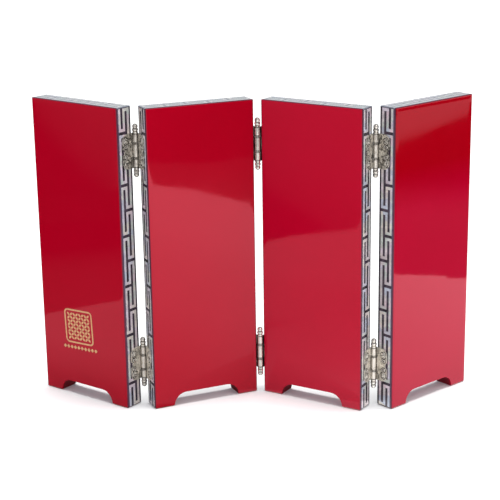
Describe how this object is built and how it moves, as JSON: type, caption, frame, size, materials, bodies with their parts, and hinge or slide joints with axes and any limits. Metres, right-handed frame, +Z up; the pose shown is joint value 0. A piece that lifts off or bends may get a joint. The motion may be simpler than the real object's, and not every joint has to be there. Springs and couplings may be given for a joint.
{
  "type": "folding screen",
  "caption": "Table-top folding screen: lacquered boards with shell inlay and red backs, standing in a zigzag on arched feet and folding flat on ball-tipped hinges.",
  "frame": {"origin": "on the table under the middle of the standing screen's bounding box", "axes": "+Z up; +X along the zigzag, to the right as the red backs are seen; the red backs face -Y and the inlaid fronts +Y"},
  "size_m": [0.3002, 0.065, 0.21],
  "materials": {
    "board_wood": "plain planed board, seen only at the soles of the feet",
    "red_lacquer": "deep red lacquer polished to a mirror gloss",
    "black_lacquer": "blue-black lacquer polished to a gloss",
    "pearl_shell": "iridescent shell in lavender, blue, green and cream, polished",
    "nickel": "aged nickel plate with dark recesses",
    "gilding": "thin satin gold leaf"
  },
  "bodies": {
    "panel_2": {"panel_2_board": "board_wood", "panel_2_back_lacquer": "red_lacquer", "panel_2_front_lacquer": "black_lacquer", "panel_2_edge_lacquer": "black_lacquer", "panel_2_edge_fret": "pearl_shell", "panel_2_front_border": "pearl_shell", "panel_2_front_picture": "pearl_shell", "panel_2_screws": "nickel", "hinge_1_top_inner_leaf": "nickel", "hinge_1_bottom_inner_leaf": "nickel", "hinge_2_top_outer_leaf": "nickel", "hinge_2_top_pin": "nickel", "hinge_2_bottom_outer_leaf": "nickel", "hinge_2_bottom_pin": "nickel", "hinge_2_tips": "nickel"},
    "panel_1": {"panel_1_board": "board_wood", "panel_1_back_lacquer": "red_lacquer", "panel_1_front_lacquer": "black_lacquer", "panel_1_edge_lacquer": "black_lacquer", "panel_1_edge_fret": "pearl_shell", "panel_1_front_border": "pearl_shell", "panel_1_front_picture": "pearl_shell", "panel_1_screws": "nickel", "hinge_1_top_outer_leaf": "nickel", "hinge_1_top_pin": "nickel", "hinge_1_bottom_outer_leaf": "nickel", "hinge_1_bottom_pin": "nickel", "hinge_1_tips": "nickel", "gilt_mark": "gilding"},
    "panel_3": {"panel_3_board": "board_wood", "panel_3_back_lacquer": "red_lacquer", "panel_3_front_lacquer": "black_lacquer", "panel_3_edge_lacquer": "black_lacquer", "panel_3_edge_fret": "pearl_shell", "panel_3_front_border": "pearl_shell", "panel_3_front_picture": "pearl_shell", "panel_3_screws": "nickel", "hinge_2_top_inner_leaf": "nickel", "hinge_2_bottom_inner_leaf": "nickel", "hinge_3_top_inner_leaf": "nickel", "hinge_3_bottom_inner_leaf": "nickel"},
    "panel_4": {"panel_4_board": "board_wood", "panel_4_back_lacquer": "red_lacquer", "panel_4_front_lacquer": "black_lacquer", "panel_4_edge_lacquer": "black_lacquer", "panel_4_edge_fret": "pearl_shell", "panel_4_front_border": "pearl_shell", "panel_4_front_picture": "pearl_shell", "panel_4_screws": "nickel", "hinge_3_top_outer_leaf": "nickel", "hinge_3_top_pin": "nickel", "hinge_3_bottom_outer_leaf": "nickel", "hinge_3_bottom_pin": "nickel", "hinge_3_tips": "nickel"}
  },
  "joints": [
    {"name": "fold_1", "type": "hinge", "parent": "panel_2", "child": "panel_1", "pos_m": [-0.07686, -0.01487, 0.105], "axis": [0, 0, -1], "range_deg": [-61, 119]},
    {"name": "fold_2", "type": "hinge", "parent": "panel_2", "child": "panel_3", "pos_m": [0.00346, 0.00508, 0.105], "axis": [0, 0, -1], "range_deg": [-55.5, 124.5]},
    {"name": "fold_3", "type": "hinge", "parent": "panel_3", "child": "panel_4", "pos_m": [0.08224, -0.02029, 0.105], "axis": [0, 0, 1], "range_deg": [-73, 107]}
  ]
}
